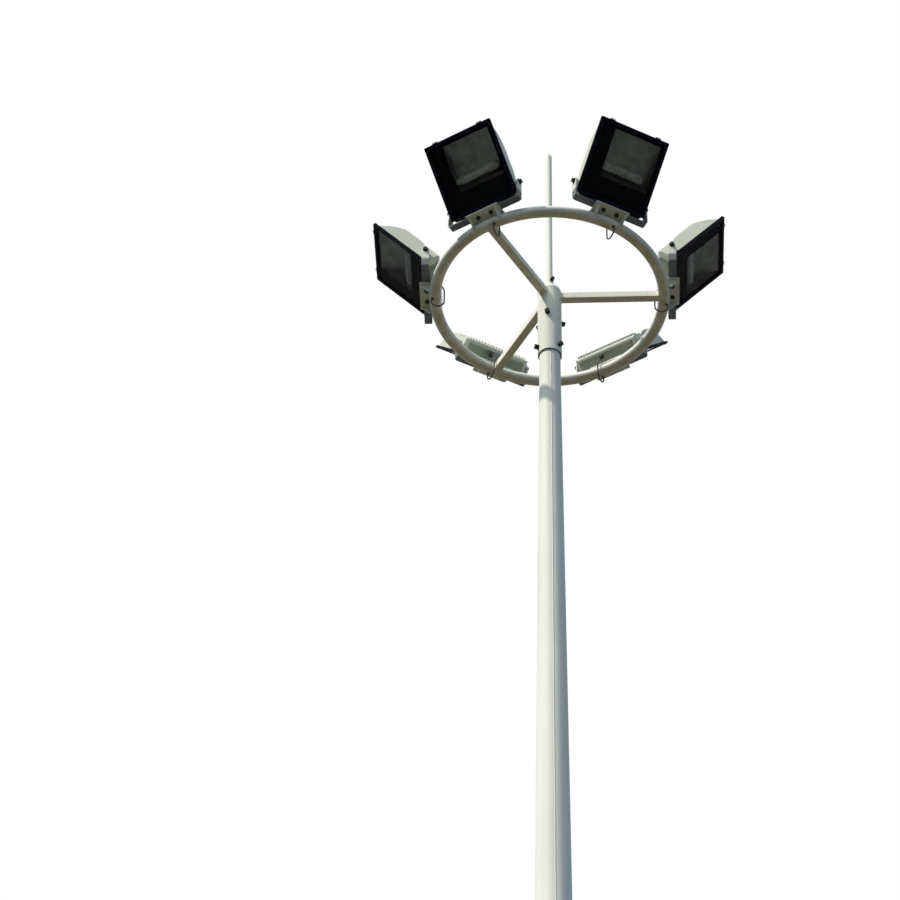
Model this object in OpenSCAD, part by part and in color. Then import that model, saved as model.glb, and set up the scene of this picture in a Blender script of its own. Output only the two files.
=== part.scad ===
// High mast floodlight tower: a tapered two-section mast that carries a ring of six tilting floodlights.
// Sizes are in millimetres. The origin is the middle of the base flange's underside and Z is up.
// Lamp 1 looks along +X, and the others follow anticlockwise every 60 degrees.

/* [Mast] */
// Height of the lamp ring's centre above the flange underside
ring_z = 15000; // [12000:100:18000]
// Width across flats of the lower section at the ground
base_af = 340; // [320:2:360]
// Width across flats of the upper section at its top
top_af = 100; // [90:1:102]
// Wall of the lower section
lower_wall = 6; // [4:0.5:8]
// Wall of the upper section
upper_wall = 5; // [4:0.5:7]
// Height of the upper section's lower edge
slip_z = 7400; // [6000:50:8500]
// Length over which the upper section is slipped on the lower one
slip_lap = 450; // [350:10:600]
// Turn of the first corner of the mast about its axis
mast_turn = 6; // [0:1:14]

/* [Base] */
// Diameter of the base flange
flange_d = 570; // [550:5:640]
// Thickness of the base flange
flange_t = 25; // [20:1:40]
// Pitch circle of the anchor holes
anchor_pcd = 470; // [460:2:480]
// Diameter of an anchor hole
anchor_hole_d = 30; // [24:1:36]
// Diameter of the cable hole in the flange
cable_hole_d = 200; // [120:5:260]
// Height of the gussets above the flange
gusset_h = 180; // [120:5:260]
// Thickness of the gussets
gusset_t = 12; // [8:1:16]
// Height of the hand hole's middle
handhole_z = 850; // [600:10:1200]
// Width of the hand hole
handhole_w = 56; // [40:1:60]
// Height of the hand hole
handhole_h = 380; // [300:5:420]
// Thickness of the hand hole cover
cover_t = 4; // [3:0.5:6]

/* [Head] */
// Outer diameter of the head sleeve
sleeve_od = 125; // [124:1:134]
// Wall of the head sleeve
sleeve_wall = 4; // [3:0.5:4.5]
// Length of the sleeve below the ring's centre plane
sleeve_drop = 445; // [435:5:520]
// Height of the dome's centre above the ring's centre plane
dome_rise = 26; // [24:1:40]
// Diameter of a set bolt in the sleeve
set_bolt_d = 16; // [12:1:18]
// Drop of the upper set bolts below the ring's centre plane
set_upper = 175; // [140:5:220]
// Drop of the lower set bolts below the ring's centre plane
set_lower = 400; // [360:5:415]
// Diameter of the lightning rod
rod_d = 34; // [28:1:36]
// Height of the rod's tip above the ring's centre plane
rod_top = 1190; // [900:2:1400]
// Length of the rod's point
rod_point = 46; // [30:1:80]
// Outer diameter of the rod socket
socket_od = 46; // [44:1:52]
// Height of the rod socket above the dome
socket_h = 60; // [45:1:90]

/* [Ring] */
// Diameter of the ring's centre line
ring_d = 1200; // [1150:5:1300]
// Diameter of the ring's tube
ring_tube = 60; // [57:1:64]
// Wall of the ring's tube
ring_wall = 3; // [2.5:0.5:4]
// Width of the square spokes
spoke_w = 40; // [34:1:41]
// Wall of the spokes
spoke_wall = 3; // [2:0.5:4]

/* [Lamp bracket] */
// Length of a mount plate along the ring
plate_w = 190; // [176:2:220]
// Reach of a mount plate beyond the ring's centre line
plate_out = 82; // [80:1:92]
// Reach of a mount plate inside the ring's centre line
plate_in = 20; // [14:1:22]
// Thickness of a mount plate
plate_t = 6; // [5:0.5:8]
// Width of a yoke's flat bar
yoke_w = 40; // [36:1:44]
// Thickness of a yoke's flat bar
yoke_t = 6; // [4:0.5:8]
// Distance of the tilt axis from the ring's centre line
pivot_r = 46; // [45:0.5:48]
// Height of the tilt axis above the ring's centre plane
pivot_rise = 165; // [155:1:185]
// Diameter of the bracket bolts and the pivot bolts
bolt_d = 12; // [10:0.5:12]
// Spacing of the two bracket bolts
bolt_span = 76; // [66:1:90]

/* [Lamp] */
// Tilt of the lamp face from looking straight down
lamp_tilt = 48; // [20:1:70]
// Width of the front frame
frame_w = 398; // [384:2:412]
// Length of the front frame
frame_l = 415; // [408:1:428]
// Thickness of the front frame
frame_t = 14; // [13.5:0.5:16]
// Width of the front frame's rim
frame_rim = 18; // [14:0.5:20]
// Depth of the arched back behind the front face
back_d = 113; // [110:1:120]
// Depth of the gear box behind the front face
box_d = 97; // [94:1:100]
// Wall of the cast housing
house_wall = 4; // [3:0.5:5]
// Number of cooling fins
fin_count = 20; // [10:1:21]
// Height of a cooling fin
fin_h = 11; // [6:0.5:13]
// Thickness of the front glass
glass_t = 5; // [4:0.5:6]
// Sheet thickness of the reflector
mirror_t = 1.5; // [1:0.1:2]
// Diameter of the bulb
bulb_d = 46; // [38:1:48]
// Diameter of a supply lead
lead_d = 8; // [6:0.5:9]

/* [Hidden] */
lamp_count = 6;
spoke_count = 3;
flats = 12;
anchor_count = 12;
gusset_count = 6;
// Clearances
slip_gap = 0.3;
weld_gap = 0.3;
seat_gap = 0.3;
bolt_gap = 0.3;
run_gap = 0.08;
swing_gap = 6;
tie_gap = 3;
// Mast
corner_k = 1 / cos(180 / flats);
dome_r = sleeve_od / 2;
dome_z = ring_z + dome_rise;
bore_r = dome_r - sleeve_wall;
top_r = top_af / 2 * corner_k;
mast_top = dome_z + sqrt(pow(bore_r - seat_gap, 2) - top_r * top_r);
step_af = 2 * (upper_wall + slip_gap);
taper = (base_af + step_af - top_af) / mast_top;
flat_lean = atan(taper / 2);
flat_turn = mast_turn + 180 / flats;
// Base
gusset_out = flange_d / 2 - 15;
gusset_toe = 22;
cover_turn = flat_turn + 60;
cover_edge = 10;
// Ring and brackets
ring_r = ring_d / 2;
tube_r = ring_tube / 2;
plate_z = tube_r + tie_gap;
bar_z = plate_z + plate_t;
rib_t = 6;
rib_y = plate_w / 2 - 18;
arm_y = frame_w / 2 + swing_gap;
washer_t = 2.5;
nut_h = 10;
head_h = 8;
// Lamp: s runs along the face from the ring outwards, d runs back from the face
pivot_s = 55;
pivot_d = 58;
end_s = -18;
end_hw = 172;
front_hw = frame_w / 2 - 7;
back_hw = front_hw - 8;
house_l = frame_l - 7;
box_s = 79;
box_step = 5;
nose_r = 20;
edge_r = 12;
// The arched back: a wide arc up from the gear box, then a tighter one and a straight slope to the frame
arch_s = 214;
arch_in_r = 364;
arch_out_r = 198;
arch_slope = 47;
boss_d = 30;
fin_w = 4;
fin_span = 2 * (end_hw - 8);
gland_y = 30;
gland_l = 12;
panel_d = 9;
panel_t = 3;
win_s0 = 122;
win_s1 = frame_l - 33;
win_y0 = 95 - frame_w / 2;
win_y1 = frame_w / 2 - 31;
lug_y = 134;
mirror_d = panel_d + panel_t;
mirror_lip = 4;
// The reflector: steep from the gear box's side to its deepest line, where the bulb is, then long and flat
mirror_s0 = win_s0 - 4;
mirror_s1 = win_s1 + 4;
mirror_c = win_s0 + 66;
mirror_h = 68;
mirror_y0 = win_y0 - 4;
mirror_y1 = win_y1 + 4;
bulb_z = mirror_d + 38;
neck_r = 16.5;
// Lead: from the gland down inside the ring, in a drip loop under its tube and into the tube from below
lead_turn = 3.4;
lead_in = tube_r + 17;
lead_bend = 34;
lead_mouth = tube_r + 7;
lead_end = tube_r - ring_wall / 2;
lead_hole_d = lead_d + 5;
lead_aim = atan2(lead_bend, lead_mouth) - asin((lead_in - lead_bend) / norm([lead_bend, lead_mouth]));
loop_z = -lead_mouth * cos(lead_aim) - lead_bend * sin(lead_aim);
drop_z = 22;
lead_run = 10;
lead_ease = 28;
lead_path = concat(
    [gland_point(seat_gap)],
    [for (k = [0 : 6])
        curve_point(gland_point(lead_run), gland_point(lead_run + lead_ease),
            hole_point(-lead_in, drop_z + lead_ease), hole_point(-lead_in, drop_z), k / 6)],
    [for (k = [1, 2]) hole_point(-lead_in, drop_z + (loop_z - drop_z) * k / 3)],
    [for (k = [0 : 10])
        let (a = (180 + lead_aim) * k / 10)
        hole_point(lead_bend * (1 - cos(a)) - lead_in, loop_z - lead_bend * sin(a))],
    [hole_point(lead_end * sin(lead_aim), -lead_end * cos(lead_aim))]
);
lead_sides = 8;

$fn = 64;

function af_lower(z) = base_af - taper * z;
function af_upper(z) = af_lower(z) + step_af;
function arc(cx, cy, r, a0, a1, n) =
    [for (k = [0 : n]) [cx + r * cos(a0 + (a1 - a0) * k / n), cy + r * sin(a0 + (a1 - a0) * k / n)]];
function mirrored(p) = [for (k = [len(p) - 1 : -1 : 0]) [-p[k][0], p[k][1]]];
function unit(v) = v / norm(v);
function gland_point(out) = lamp_point(end_s - gland_l - out, gland_y, pivot_d);
function hole_point(r, z) = [(ring_r + r) * cos(lead_turn) - ring_r, (ring_r + r) * sin(lead_turn), z];
function curve_point(a, b, c, d, u) =
    pow(1 - u, 3) * a + 3 * u * pow(1 - u, 2) * b + 3 * u * u * (1 - u) * c + pow(u, 3) * d;
function trough(inset) = [for (k = [-12 : 12])
    let (u = k / 12, half = k < 0 ? mirror_c - mirror_s0 : mirror_s1 - mirror_c)
    [mirror_c + (half - 1.2 * inset) * u, mirror_d + (mirror_h - inset) * (1 - u * u)]];
function lamp_point(s, y, d) = [
    pivot_r + (s - pivot_s) * cos(lamp_tilt) - (d - pivot_d) * sin(lamp_tilt),
    y,
    pivot_rise + (s - pivot_s) * sin(lamp_tilt) + (d - pivot_d) * cos(lamp_tilt)
];

// A twelve-sided taper between two heights, given its widths across flats
module taper_form(z0, af0, z1, af1) {
    translate([0, 0, z0])
        rotate([0, 0, mast_turn])
            cylinder(d1 = af0 * corner_k, d2 = af1 * corner_k, h = z1 - z0, $fn = flats);
}

module hex(af, h) {
    cylinder(d = af / cos(30), h = h, $fn = 6);
}

// A flat plate with round corners, centred on x and y, standing on z = 0
module slab(l, w, h, r) {
    translate([-l / 2 + r, -w / 2, 0])
        cube([l - 2 * r, w, h]);
    translate([-l / 2, -w / 2 + r, 0])
        cube([l, w - 2 * r, h]);
    for (x = [-1, 1])
        for (y = [-1, 1])
            translate([x * (l / 2 - r), y * (w / 2 - r), 0])
                cylinder(r = r, h = h);
}

// Places a shape at a lamp's point on the ring: x outwards, y along the ring, z up
module at_ring(i) {
    rotate([0, 0, (i - 1) * 360 / lamp_count])
        translate([ring_r, 0, ring_z])
            children();
}

// Places a shape in a lamp's own directions: x along the face, y along the ring, z back from the face
module in_lamp(i) {
    at_ring(i)
        translate([pivot_r, 0, pivot_rise])
            rotate([0, -lamp_tilt, 0])
                translate([-pivot_s, 0, -pivot_d])
                    children();
}

module ring_form(r) {
    translate([0, 0, ring_z])
        rotate_extrude($fn = 128)
            translate([ring_r, 0])
                circle(r = r);
}

// Base

module base_flange() {
    color([0.55, 0.56, 0.55])
        difference() {
            cylinder(d = flange_d, h = flange_t, $fn = 128);
            translate([0, 0, -1])
                cylinder(d = cable_hole_d, h = flange_t + 2);
            for (k = [0 : anchor_count - 1])
                rotate([0, 0, mast_turn + k * 360 / anchor_count])
                    translate([anchor_pcd / 2, 0, -1])
                        cylinder(d = anchor_hole_d, h = flange_t + 2);
        }
}

module base_gussets() {
    z1 = flange_t + gusset_h;
    in0 = af_lower(flange_t) / 2 + weld_gap;
    in1 = af_lower(z1) / 2 + weld_gap;
    color([0.55, 0.56, 0.55])
        for (k = [0 : gusset_count - 1])
            rotate([0, 0, flat_turn + k * 360 / gusset_count])
                rotate([90, 0, 0])
                    translate([0, 0, -gusset_t / 2])
                        linear_extrude(gusset_t)
                            polygon([
                                [in0, flange_t], [gusset_out, flange_t], [gusset_out, flange_t + gusset_toe],
                                [in1 + gusset_toe, z1], [in1, z1]
                            ]);
}

// Mast

module on_cover_flat() {
    rotate([0, 0, cover_turn])
        translate([af_lower(handhole_z) / 2, 0, handhole_z])
            rotate([0, 90 - flat_lean, 0])
                children();
}

module mast_lower() {
    z1 = slip_z + slip_lap;
    w = 2 * lower_wall;
    color([0.95, 0.94, 0.88])
        difference() {
            taper_form(flange_t, af_lower(flange_t), z1, af_lower(z1));
            taper_form(flange_t - 10, af_lower(flange_t - 10) - w, z1 + 10, af_lower(z1 + 10) - w);
            on_cover_flat()
                translate([0, 0, -20])
                    slab(handhole_h, handhole_w, 40, handhole_w / 2 - 4);
        }
}

module handhole_cover() {
    color([0.95, 0.94, 0.88])
        on_cover_flat()
            translate([0, 0, seat_gap])
                slab(handhole_h + 2 * cover_edge, handhole_w + 2 * cover_edge, cover_t, handhole_w / 2);
}

module mast_upper() {
    w = 2 * upper_wall;
    color([0.95, 0.94, 0.88])
        difference() {
            taper_form(slip_z, af_upper(slip_z), mast_top, af_upper(mast_top));
            taper_form(slip_z - 10, af_upper(slip_z - 10) - w, mast_top + 10, af_upper(mast_top + 10) - w);
        }
}

// Head

module set_places() {
    for (k = [0 : 2]) {
        rotate([0, 0, flat_turn + k * 120])
            translate([0, 0, ring_z - set_upper])
                rotate([0, 90, 0])
                    children();
        rotate([0, 0, flat_turn + k * 120 + 60])
            translate([0, 0, ring_z - set_lower])
                rotate([0, 90, 0])
                    children();
    }
}

module head_sleeve() {
    socket_top = dome_z + dome_r + socket_h;
    color([0.95, 0.94, 0.88])
        difference() {
            union() {
                translate([0, 0, ring_z - sleeve_drop])
                    cylinder(r = dome_r, h = sleeve_drop + dome_rise);
                intersection() {
                    translate([0, 0, dome_z])
                        sphere(r = dome_r);
                    translate([-dome_r - 5, -dome_r - 5, dome_z])
                        cube([2 * dome_r + 10, 2 * dome_r + 10, dome_r + 5]);
                }
                translate([0, 0, socket_top - socket_h - 8])
                    cylinder(d = socket_od, h = socket_h + 8);
            }
            translate([0, 0, ring_z - sleeve_drop - 1])
                cylinder(r = bore_r, h = sleeve_drop + dome_rise + 1);
            intersection() {
                translate([0, 0, dome_z])
                    sphere(r = bore_r);
                translate([-dome_r - 5, -dome_r - 5, dome_z - 1])
                    cube([2 * dome_r + 10, 2 * dome_r + 10, dome_r + 5]);
            }
            translate([0, 0, dome_z + dome_r])
                cylinder(d = rod_d + 2 * bolt_gap, h = socket_h + 1);
            set_places()
                translate([0, 0, bore_r - 6])
                    cylinder(d = set_bolt_d + 2 * bolt_gap, h = 20);
            rod_bolt_place()
                cylinder(d = bolt_d - 2 + 2 * bolt_gap, h = socket_od);
        }
}

module rod_bolt_place() {
    translate([0, 0, dome_z + dome_r + socket_h / 2])
        rotate([0, 0, -62])
            rotate([0, 90, 0])
                children();
}

module set_bolt(tip) {
    af = 1.5 * set_bolt_d;
    translate([0, 0, tip])
        cylinder(d = set_bolt_d, h = dome_r + 16 - tip);
    translate([0, 0, dome_r + seat_gap])
        hex(af, 8);
    translate([0, 0, dome_r + 11])
        hex(af, 10);
}

module set_bolts() {
    tip0 = af_upper(ring_z - set_upper - set_bolt_d) / 2 + seat_gap;
    tip1 = af_upper(ring_z - set_lower - set_bolt_d) / 2 + seat_gap;
    color([0.12, 0.12, 0.13]) {
        for (k = [0 : 2]) {
            rotate([0, 0, flat_turn + k * 120])
                translate([0, 0, ring_z - set_upper])
                    rotate([0, 90, 0])
                        set_bolt(tip0);
            rotate([0, 0, flat_turn + k * 120 + 60])
                translate([0, 0, ring_z - set_lower])
                    rotate([0, 90, 0])
                        set_bolt(tip1);
        }
        rod_bolt_place() {
            translate([0, 0, rod_d / 2 + seat_gap])
                cylinder(d = bolt_d - 2, h = socket_od / 2 + 18 - rod_d / 2);
            translate([0, 0, socket_od / 2 + seat_gap])
                hex(1.5 * bolt_d, 8);
            translate([0, 0, socket_od / 2 + 12])
                hex(1.5 * bolt_d, 10);
        }
    }
}

module lightning_rod() {
    z0 = dome_z + dome_r + seat_gap;
    z1 = ring_z + rod_top;
    color([0.95, 0.94, 0.88]) {
        translate([0, 0, z0])
            cylinder(d = rod_d, h = z1 - rod_point - z0);
        translate([0, 0, z1 - rod_point])
            cylinder(d1 = rod_d, d2 = 2, h = rod_point);
    }
}

// Ring

module spokes() {
    color([0.95, 0.94, 0.88])
        for (k = [0 : spoke_count - 1])
            difference() {
                rotate([0, 0, k * 360 / spoke_count])
                    translate([0, 0, ring_z])
                        difference() {
                            translate([dome_r - 15, -spoke_w / 2, -spoke_w / 2])
                                cube([ring_r - dome_r - 5, spoke_w, spoke_w]);
                            translate([dome_r - 20, spoke_wall - spoke_w / 2, spoke_wall - spoke_w / 2])
                                cube([ring_r, spoke_w - 2 * spoke_wall, spoke_w - 2 * spoke_wall]);
                        }
                translate([0, 0, ring_z - spoke_w])
                    cylinder(r = dome_r + weld_gap, h = 2 * spoke_w);
                ring_form(tube_r + weld_gap);
            }
}

module ring() {
    color([0.95, 0.94, 0.88])
        difference() {
            ring_form(tube_r);
            ring_form(tube_r - ring_wall);
            for (i = [1 : lamp_count])
                rotate([0, 0, (i - 1) * 360 / lamp_count + lead_turn])
                    translate([ring_r, 0, ring_z])
                        rotate([0, 180 - lead_aim, 0])
                            translate([0, 0, tube_r / 2])
                                cylinder(d = lead_hole_d, h = tube_r);
        }
}

// Lamp brackets

module bolt_places(i) {
    for (y = [-bolt_span / 2, bolt_span / 2])
        at_ring(i)
            translate([pivot_r, y, plate_z])
                children();
}

module mount_plates() {
    color([0.80, 0.80, 0.76])
        for (i = [1 : lamp_count])
            difference() {
                at_ring(i) {
                    translate([-plate_in, -plate_w / 2, plate_z])
                        cube([plate_in + plate_out, plate_w, plate_t]);
                    for (y = [-rib_y, rib_y])
                        translate([0, y + rib_t / 2, 0])
                            rotate([90, 0, 0])
                                linear_extrude(rib_t)
                                    polygon([
                                        [4, plate_z + 1], [plate_out - 8, plate_z + 1],
                                        [plate_out - 8, plate_z - 6],
                                        [tube_r + 6, -tube_r / 2], [tube_r / 2, -tube_r / 2], [4, 0]
                                    ]);
                }
                ring_form(tube_r + weld_gap);
                bolt_places(i)
                    translate([0, 0, -1])
                        cylinder(d = bolt_d + 2 * bolt_gap, h = plate_t + 2);
            }
}

// A block with its two lower edges round, open upwards, as a bar is bent
module bent_block(half, z0, r) {
    h = pivot_rise + yoke_w;
    translate([pivot_r - yoke_w, -half, z0 + r])
        cube([2 * yoke_w, 2 * half, h]);
    translate([pivot_r - yoke_w, -half + r, z0])
        cube([2 * yoke_w, 2 * half - 2 * r, h]);
    for (y = [-1, 1])
        translate([pivot_r - yoke_w, y * (half - r), z0 + r])
            rotate([0, 90, 0])
                cylinder(r = r, h = 2 * yoke_w);
}

module yokes() {
    color([0.80, 0.80, 0.76])
        for (i = [1 : lamp_count])
            difference() {
                at_ring(i)
                    intersection() {
                        difference() {
                            bent_block(arm_y + yoke_t, bar_z, 2 * yoke_t);
                            bent_block(arm_y, bar_z + yoke_t, yoke_t);
                        }
                        union() {
                            translate([pivot_r - yoke_w / 2, -frame_w, bar_z])
                                cube([yoke_w, 2 * frame_w, pivot_rise - bar_z]);
                            translate([pivot_r, frame_w, pivot_rise])
                                rotate([90, 0, 0])
                                    cylinder(d = yoke_w, h = 2 * frame_w);
                        }
                    }
                at_ring(i)
                    translate([pivot_r, frame_w, pivot_rise])
                        rotate([90, 0, 0])
                            cylinder(d = bolt_d + 2 * bolt_gap, h = 2 * frame_w);
                bolt_places(i)
                    cylinder(d = bolt_d + 2 * bolt_gap, h = plate_t + yoke_t + 5);
            }
}

module plate_bolts() {
    grip = plate_t + yoke_t;
    color([0.12, 0.12, 0.13])
        for (i = [1 : lamp_count])
            bolt_places(i) {
                translate([0, 0, -washer_t - head_h])
                    hex(1.6 * bolt_d, head_h);
                translate([0, 0, -washer_t])
                    cylinder(d = 2 * bolt_d, h = washer_t);
                translate([0, 0, -washer_t])
                    cylinder(d = bolt_d, h = grip + 2 * washer_t + nut_h + 4);
                translate([0, 0, grip])
                    cylinder(d = 2 * bolt_d, h = washer_t);
                translate([0, 0, grip + washer_t])
                    hex(1.6 * bolt_d, nut_h);
            }
}

module pivot_bolts() {
    out = arm_y + yoke_t;
    color([0.12, 0.12, 0.13])
        for (i = [1 : lamp_count])
            for (y = [-1, 1])
                at_ring(i)
                    translate([pivot_r, 0, pivot_rise])
                        rotate([-90 * y, 0, 0]) {
                            translate([0, 0, front_hw - 10])
                                cylinder(d = bolt_d, h = out + washer_t + head_h - front_hw + 10);
                            translate([0, 0, out])
                                cylinder(d = 2.3 * bolt_d, h = washer_t);
                            translate([0, 0, out + washer_t])
                                hex(1.85 * bolt_d, head_h + 2);
                        }
}

// Lamps

// The housing's outside, or with an inset the room inside it, open to the front
module house_form(inset) {
    front = frame_t - (inset > 0 ? 1 : 0);
    in_r = arch_in_r - inset;
    out_r = arch_out_r - inset;
    rise = 90 + asin((arch_s - box_s - box_step + inset / 2) / in_r);
    fall = 90 - arch_slope;
    fall_s = arch_s + out_r * cos(fall);
    fall_d = back_d - arch_out_r + out_r * sin(fall);
    side = concat(
        [[end_s + inset, front]],
        arc(end_s + nose_r, box_d - nose_r, nose_r - inset, 180, 90, 6),
        [[box_s - inset / 2, box_d - inset]],
        arc(arch_s, back_d - arch_in_r, in_r, rise, 90, 8),
        arc(arch_s, back_d - arch_out_r, out_r, 84, fall, 8),
        [[fall_s + (fall_d - front) * tan(fall), front]]
    );
    half = concat(
        [[front_hw - inset, front]],
        arc(back_hw - edge_r, back_d - edge_r, edge_r - inset, 0, 90, 6)
    );
    plan = [
        [end_s + inset, -end_hw + inset], [12, -front_hw - 5 + inset], [house_l - 24, -front_hw - 5 + inset],
        [house_l + 2, -front_hw + 25 + inset], [house_l + 2, front_hw - 25 - inset],
        [house_l - 24, front_hw + 5 - inset], [12, front_hw + 5 - inset], [end_s + inset, end_hw - inset]
    ];
    intersection() {
        rotate([90, 0, 0])
            linear_extrude(2 * frame_w, center = true)
                polygon(side);
        translate([end_s - 10, 0, 0])
            rotate([90, 0, 90])
                linear_extrude(frame_l + 60)
                    polygon(concat(half, mirrored(half)));
        linear_extrude(2 * back_d)
            polygon(plan);
    }
}

module lamp_housing(i) {
    color([0.78, 0.77, 0.73])
        in_lamp(i)
            difference() {
                union() {
                    difference() {
                        house_form(0);
                        house_form(house_wall);
                    }
                    for (k = [0 : fin_count - 1])
                        translate([-4, (k / (fin_count - 1) - 0.5) * fin_span - fin_w / 2, box_d - 2.5])
                            cube([box_s, fin_w, fin_h + 2.5]);
                    for (y = [-1, 1])
                        translate([pivot_s, 0, pivot_d])
                            rotate([-90 * y, 0, 0])
                                translate([0, 0, front_hw - 30])
                                    cylinder(d = boss_d, h = arm_y - front_hw + 30 - bolt_gap);
                    translate([end_s + 2, gland_y, pivot_d])
                        rotate([0, -90, 0]) {
                            cylinder(d = 30, h = 8);
                            cylinder(d = 22, h = gland_l + 2);
                        }
                }
                for (y = [-1, 1])
                    translate([pivot_s, 0, pivot_d])
                        rotate([-90 * y, 0, 0])
                            translate([0, 0, front_hw - 12])
                                cylinder(r = bolt_d / 2 + run_gap, h = arm_y);
            }
}

module lamp_reflector(i) {
    mid_s = (mirror_s0 + mirror_s1) / 2;
    mid_y = (mirror_y0 + mirror_y1) / 2;
    len_s = mirror_s1 - mirror_s0;
    len_y = mirror_y1 - mirror_y0;
    hollow = trough(mirror_t);
    color([0.75, 0.76, 0.78])
        in_lamp(i)
            difference() {
                union() {
                    translate([0, mirror_y1, 0])
                        rotate([90, 0, 0])
                            linear_extrude(len_y)
                                polygon(trough(0));
                    translate([mid_s, mid_y, mirror_d])
                        slab(len_s + 2 * mirror_lip, len_y + 2 * mirror_lip, mirror_t, 6);
                }
                translate([0, mirror_y1 - mirror_t, 0])
                    rotate([90, 0, 0])
                        linear_extrude(len_y - 2 * mirror_t)
                            polygon(concat(
                                [[hollow[0][0], mirror_d - 1]], hollow, [[hollow[24][0], mirror_d - 1]]
                            ));
                translate([mirror_c, mirror_y0 + 5, bulb_z])
                    rotate([90, 0, 0])
                        cylinder(r = neck_r + bolt_gap, h = 12);
            }
}

module lamp_bulb(i) {
    r = bulb_d / 2;
    seat = mirror_y0;
    color([0.92, 0.92, 0.90])
        in_lamp(i)
            translate([mirror_c, 0, bulb_z])
                rotate([-90, 0, 0])
                    rotate_extrude()
                        polygon(concat(
                            [[0, seat - 58], [neck_r, seat - 58], [neck_r, seat - 4], [neck_r + 6, seat - 4]],
                            [[neck_r + 6, seat], [neck_r, seat], [neck_r, seat + 16], [r, seat + 30]],
                            arc(0, mirror_y1 - 50, r, 0, 90, 6)
                        ));
}

module lamp_frame(i) {
    color([0.06, 0.06, 0.06])
        in_lamp(i)
            difference() {
                union() {
                    translate([frame_l / 2, 0, 0])
                        slab(frame_l, frame_w, frame_t, 4);
                    for (y = [-lug_y, lug_y]) {
                        translate([frame_l - 4, y - 14, 3])
                            cube([11, 28, frame_t - 6]);
                        translate([-5, y + 14, frame_t / 2])
                            rotate([90, 0, 0])
                                cylinder(d = 14, h = 28);
                    }
                }
                translate([frame_l / 2, 0, -1])
                    slab(frame_l - 2 * frame_rim, frame_w - 2 * frame_rim, panel_d + 1, 5);
                translate([frame_l / 2, 0, panel_d + panel_t])
                    slab(frame_l - 2 * frame_rim, frame_w - 2 * frame_rim, frame_t, 5);
                translate([(win_s0 + win_s1) / 2, (win_y0 + win_y1) / 2, 0])
                    slab(win_s1 - win_s0, win_y1 - win_y0, frame_t, 6);
            }
}

module lamp_glass(i) {
    w = frame_rim + 2 * seat_gap;
    color([0.75, 0.80, 0.82, 0.35])
        in_lamp(i)
            translate([frame_l / 2, 0, panel_d - glass_t - seat_gap])
                slab(frame_l - 2 * w, frame_w - 2 * w, glass_t, 5);
}

// A round lead along a path, with flat ends
module lead(i) {
    p = lead_path;
    n = len(p);
    m = lead_sides;
    ref = [0.5, 0.6, -0.2];
    rings = [for (k = [0 : n - 1])
        let (t = unit(p[min(k + 1, n - 1)] - p[max(k - 1, 0)]), u = unit(cross(ref, t)), v = cross(t, u))
        [for (j = [0 : m - 1]) p[k] + lead_d / 2 * (cos(j * 360 / m) * u + sin(j * 360 / m) * v)]];
    points = [for (q = rings) for (c = q) c];
    sides = [for (k = [0 : n - 2]) for (j = [0 : m - 1]) for (h = [0, 1])
        h == 0
            ? [k * m + j, (k + 1) * m + j, (k + 1) * m + (j + 1) % m]
            : [k * m + j, (k + 1) * m + (j + 1) % m, k * m + (j + 1) % m]];
    ends = [[for (j = [0 : m - 1]) j], [for (j = [m - 1 : -1 : 0]) (n - 1) * m + j]];
    color([0.08, 0.08, 0.08])
        at_ring(i)
            polyhedron(points = points, faces = concat(sides, ends), convexity = 6);
}

base_flange();
base_gussets();
mast_lower();
handhole_cover();
mast_upper();
head_sleeve();
set_bolts();
lightning_rod();
spokes();
ring();
mount_plates();
yokes();
plate_bolts();
pivot_bolts();
lamp_housing(1);  // lamp_housing_1
lamp_housing(2);  // lamp_housing_2
lamp_housing(3);  // lamp_housing_3
lamp_housing(4);  // lamp_housing_4
lamp_housing(5);  // lamp_housing_5
lamp_housing(6);  // lamp_housing_6
lamp_reflector(1);  // lamp_reflector_1
lamp_reflector(2);  // lamp_reflector_2
lamp_reflector(3);  // lamp_reflector_3
lamp_reflector(4);  // lamp_reflector_4
lamp_reflector(5);  // lamp_reflector_5
lamp_reflector(6);  // lamp_reflector_6
lamp_bulb(1);  // lamp_bulb_1
lamp_bulb(2);  // lamp_bulb_2
lamp_bulb(3);  // lamp_bulb_3
lamp_bulb(4);  // lamp_bulb_4
lamp_bulb(5);  // lamp_bulb_5
lamp_bulb(6);  // lamp_bulb_6
lamp_frame(1);  // lamp_frame_1
lamp_frame(2);  // lamp_frame_2
lamp_frame(3);  // lamp_frame_3
lamp_frame(4);  // lamp_frame_4
lamp_frame(5);  // lamp_frame_5
lamp_frame(6);  // lamp_frame_6
lamp_glass(1);  // lamp_glass_1
lamp_glass(2);  // lamp_glass_2
lamp_glass(3);  // lamp_glass_3
lamp_glass(4);  // lamp_glass_4
lamp_glass(5);  // lamp_glass_5
lamp_glass(6);  // lamp_glass_6
lead(1);  // lead_1
lead(2);  // lead_2
lead(3);  // lead_3
lead(4);  // lead_4
lead(5);  // lead_5
lead(6);  // lead_6
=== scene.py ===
from math import asin, atan2, cos, hypot, pi, radians, sin, sqrt

import bmesh
import bpy
from mathutils import Matrix, Vector


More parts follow.
